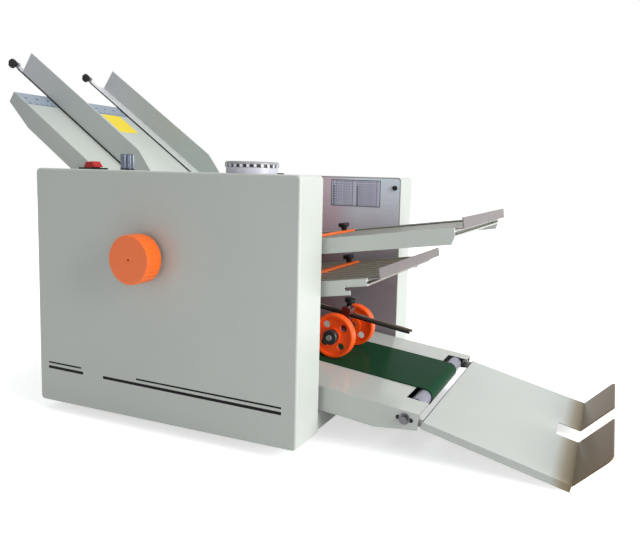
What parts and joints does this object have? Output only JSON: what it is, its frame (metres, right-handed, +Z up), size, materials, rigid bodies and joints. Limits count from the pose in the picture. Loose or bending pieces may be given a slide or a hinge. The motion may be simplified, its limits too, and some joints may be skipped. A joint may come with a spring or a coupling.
{
  "type": "paper folding machine",
  "caption": "Desk buckle folder: sloping feed tray with side guides, geared roller column, comb fold plates with stop bars, belt conveyor, press wheels and hinged delivery tray.",
  "frame": {"origin": "centre of the base plate's underside, 14 mm above the floor the feet stand on", "axes": "+X towards the delivery tray, +Y from the hand wheel side to the far side, +Z up"},
  "size_m": [0.9308, 0.442, 0.5148],
  "materials": {
    "cover_paint": "semi-gloss, lightly orange-peeled",
    "plate_paint": "satin",
    "base_paint": "satin",
    "zinc_steel": "plated, satin",
    "roller_steel": "ground",
    "shaft_steel": "polished",
    "tray_paint": "semi-gloss",
    "guide_paint": "semi-gloss",
    "comb_paint": "satin",
    "orange_plastic": "glossy",
    "maroon_paint": "satin",
    "black_plastic": "matt",
    "dial_grey": "satin",
    "dial_base_grey": "glossy",
    "knob_grey": "satin",
    "red_plastic": "glossy",
    "belt_green": "smooth",
    "black_rubber": "matt",
    "motor_paint": "satin"
  },
  "bodies": {
    "frame": {"base_plate": "base_paint", "near_side_plate": "plate_paint", "far_side_plate": "plate_paint", "tie_bars": "shaft_steel", "near_cover": "cover_paint", "far_cover": "cover_paint", "feet": "black_rubber", "plate_screws": "zinc_steel", "motor": "motor_paint", "drive_belts": "black_rubber", "feed_tray": "tray_paint", "separator_pad": "black_rubber", "upper_fold_plate": "comb_paint", "upper_plate_end": "zinc_steel", "lower_fold_plate": "comb_paint", "lower_plate_end": "zinc_steel", "left_upper_fold_plate": "comb_paint", "left_lower_fold_plate": "comb_paint", "conveyor_cover": "tray_paint", "conveyor_belt": "belt_green", "tension_axle": "zinc_steel", "dial_base": "dial_base_grey", "switch_bezel": "black_plastic", "power_inlet": "black_plastic"},
    "hand_drive": {"drive_shaft": "shaft_steel", "hand_wheel": "dial_grey"},
    "roller_1": {"fold_roller_1": "roller_steel"},
    "roller_2": {"fold_roller_2": "roller_steel"},
    "roller_3": {"fold_roller_3": "roller_steel"},
    "roller_4": {"fold_roller_4": "roller_steel"},
    "roller_5": {"fold_roller_5": "roller_steel"},
    "roller_6": {"fold_roller_6": "roller_steel", "drive_pulley": "shaft_steel"},
    "feed_drive": {"feed_shaft": "shaft_steel", "feed_wheels": "black_rubber"},
    "motor_drive": {"motor_pulley": "shaft_steel"},
    "inner_roller": {"conveyor_inner_roller": "roller_steel"},
    "end_roller": {"conveyor_end_roller": "roller_steel"},
    "near_guide_slide": {"near_guide": "guide_paint"},
    "near_guide_clamp": {"near_guide_knob": "black_plastic"},
    "far_guide_slide": {"far_guide": "guide_paint"},
    "far_guide_clamp": {"far_guide_knob": "black_plastic"},
    "upper_stop": {"upper_stop_bar": "orange_plastic"},
    "upper_stop_clamp": {"upper_stop_knob": "black_plastic"},
    "lower_stop": {"lower_stop_bar": "orange_plastic"},
    "lower_stop_clamp": {"lower_stop_knob": "black_plastic"},
    "left_upper_stop": {"left_upper_stop_bar": "orange_plastic"},
    "left_lower_stop": {"left_lower_stop_bar": "orange_plastic"},
    "press_arm": {"press_rods": "zinc_steel"},
    "press_carriage": {"press_clamp": "maroon_paint", "press_axle": "zinc_steel"},
    "press_clamp_knob": {"press_knob": "black_plastic"},
    "near_wheel": {"near_press_wheel": "orange_plastic"},
    "far_wheel": {"far_press_wheel": "orange_plastic"},
    "delivery_tray": {"receiving_tray": "tray_paint"},
    "fold_dial": {"dial": "dial_grey"},
    "power_rocker": {"switch_rocker": "red_plastic"},
    "speed_control": {"speed_knob": "knob_grey"}
  },
  "joints": [
    {"name": "hand_wheel_turn", "type": "hinge", "parent": "frame", "child": "hand_drive", "pos_m": [-0.01703, 0, 0.21155], "axis": [0, 1, 0], "continuous": true},
    {"name": "roller_1_turn", "type": "hinge", "parent": "frame", "child": "roller_1", "pos_m": [0.0082, 0, 0.2274], "axis": [0, 1, 0], "continuous": true},
    {"name": "roller_2_turn", "type": "hinge", "parent": "frame", "child": "roller_2", "pos_m": [0.0082, 0, 0.1994], "axis": [0, 1, 0], "continuous": true},
    {"name": "roller_3_turn", "type": "hinge", "parent": "frame", "child": "roller_3", "pos_m": [0.0082, 0, 0.1714], "axis": [0, 1, 0], "continuous": true},
    {"name": "roller_4_turn", "type": "hinge", "parent": "frame", "child": "roller_4", "pos_m": [0.0082, 0, 0.1434], "axis": [0, 1, 0], "continuous": true},
    {"name": "roller_5_turn", "type": "hinge", "parent": "frame", "child": "roller_5", "pos_m": [0.0082, 0, 0.1154], "axis": [0, 1, 0], "continuous": true},
    {"name": "roller_6_turn", "type": "hinge", "parent": "frame", "child": "roller_6", "pos_m": [0.0082, 0, 0.0874], "axis": [0, 1, 0], "continuous": true},
    {"name": "feed_turn", "type": "hinge", "parent": "frame", "child": "feed_drive", "pos_m": [-0.02059, 0, 0.24549], "axis": [0, 1, 0], "continuous": true},
    {"name": "motor_turn", "type": "hinge", "parent": "frame", "child": "motor_drive", "pos_m": [-0.12, 0, 0.052], "axis": [0, 1, 0], "continuous": true},
    {"name": "inner_roller_turn", "type": "hinge", "parent": "frame", "child": "inner_roller", "pos_m": [0.03398, 0, 0.06953], "axis": [0, 1, 0], "continuous": true},
    {"name": "end_roller_turn", "type": "hinge", "parent": "frame", "child": "end_roller", "pos_m": [0.30904, 0, 0.03673], "axis": [0, 1, 0], "continuous": true},
    {"name": "near_guide_travel", "type": "slide", "parent": "frame", "child": "near_guide_slide", "axis": [0, 1, 0], "range_m": [-0.05, 0.045]},
    {"name": "near_guide_clamp_turn", "type": "hinge", "parent": "near_guide_slide", "child": "near_guide_clamp", "pos_m": [-0.38229, -0.0798, 0.48494], "axis": [0, -1, 0], "range_deg": [0, 180]},
    {"name": "far_guide_travel", "type": "slide", "parent": "frame", "child": "far_guide_slide", "axis": [0, 1, 0], "range_m": [-0.045, 0.038]},
    {"name": "far_guide_clamp_turn", "type": "hinge", "parent": "far_guide_slide", "child": "far_guide_clamp", "pos_m": [-0.38229, 0.0723, 0.48494], "axis": [0, -1, 0], "range_deg": [0, 180]},
    {"name": "upper_stop_travel", "type": "slide", "parent": "frame", "child": "upper_stop", "axis": [0.9907, 0, 0.1357], "range_m": [-0.075, 0.21]},
    {"name": "upper_stop_clamp_turn", "type": "hinge", "parent": "upper_stop", "child": "upper_stop_clamp", "pos_m": [0.12353, 0.098, 0.23342], "axis": [-0.1357, 0, 0.9907], "range_deg": [0, 180]},
    {"name": "lower_stop_travel", "type": "slide", "parent": "frame", "child": "lower_stop", "axis": [0.989, 0, 0.1478], "range_m": [-0.05, 0.1]},
    {"name": "lower_stop_clamp_turn", "type": "hinge", "parent": "lower_stop", "child": "lower_stop_clamp", "pos_m": [0.13354, 0.098, 0.18117], "axis": [-0.1478, 0, 0.989], "range_deg": [0, 180]},
    {"name": "left_upper_stop_travel", "type": "slide", "parent": "frame", "child": "left_upper_stop", "axis": [-0.989, 0, 0.1478], "range_m": [-0.06, 0.075]},
    {"name": "left_lower_stop_travel", "type": "slide", "parent": "frame", "child": "left_lower_stop", "axis": [-0.989, 0, 0.1478], "range_m": [-0.06, 0.075]},
    {"name": "press_arm_lift", "type": "hinge", "parent": "frame", "child": "press_arm", "pos_m": [0.075, 0.004, 0.1369], "axis": [0, -1, 0], "range_deg": [0, 12]},
    {"name": "press_carriage_travel", "type": "slide", "parent": "press_arm", "child": "press_carriage", "axis": [0.9871, 0, -0.1599], "range_m": [-0.055, 0]},
    {"name": "press_clamp_turn", "type": "hinge", "parent": "press_carriage", "child": "press_clamp_knob", "pos_m": [0.17273, 0.004, 0.12107], "axis": [0.1599, 0, 0.9871], "range_deg": [0, 180]},
    {"name": "near_wheel_turn", "type": "hinge", "parent": "press_carriage", "child": "near_wheel", "pos_m": [0.1688, -0.0345, 0.09685], "axis": [0, 1, 0], "continuous": true},
    {"name": "far_wheel_turn", "type": "hinge", "parent": "press_carriage", "child": "far_wheel", "pos_m": [0.1688, 0.0425, 0.09685], "axis": [0, 1, 0], "continuous": true},
    {"name": "delivery_tray_lift", "type": "hinge", "parent": "frame", "child": "delivery_tray", "pos_m": [0.3215, 0, 0.03403], "axis": [0, -1, 0], "range_deg": [0, 30]},
    {"name": "dial_turn", "type": "hinge", "parent": "frame", "child": "fold_dial", "pos_m": [0.116, -0.171, 0.327], "axis": [0, 0, 1], "range_deg": [0, 270]},
    {"name": "rocker_tilt", "type": "hinge", "parent": "frame", "child": "power_rocker", "pos_m": [-0.1275, -0.177, 0.322], "axis": [0, 1, 0], "range_deg": [0, 14]},
    {"name": "speed_turn", "type": "hinge", "parent": "frame", "child": "speed_control", "pos_m": [-0.0695, -0.177, 0.32], "axis": [0, 0, 1], "range_deg": [0, 300]}
  ],
  "couplings": [
    {"joint": "roller_1_turn", "follows": "hand_wheel_turn", "ratio": 1},
    {"joint": "roller_2_turn", "follows": "hand_wheel_turn", "ratio": -1},
    {"joint": "roller_3_turn", "follows": "hand_wheel_turn", "ratio": 1},
    {"joint": "roller_4_turn", "follows": "hand_wheel_turn", "ratio": -1},
    {"joint": "roller_5_turn", "follows": "hand_wheel_turn", "ratio": 1},
    {"joint": "roller_6_turn", "follows": "hand_wheel_turn", "ratio": -1},
    {"joint": "feed_turn", "follows": "hand_wheel_turn", "ratio": -0.7},
    {"joint": "motor_turn", "follows": "hand_wheel_turn", "ratio": -2.2},
    {"joint": "inner_roller_turn", "follows": "hand_wheel_turn", "ratio": -1},
    {"joint": "end_roller_turn", "follows": "hand_wheel_turn", "ratio": -1}
  ]
}
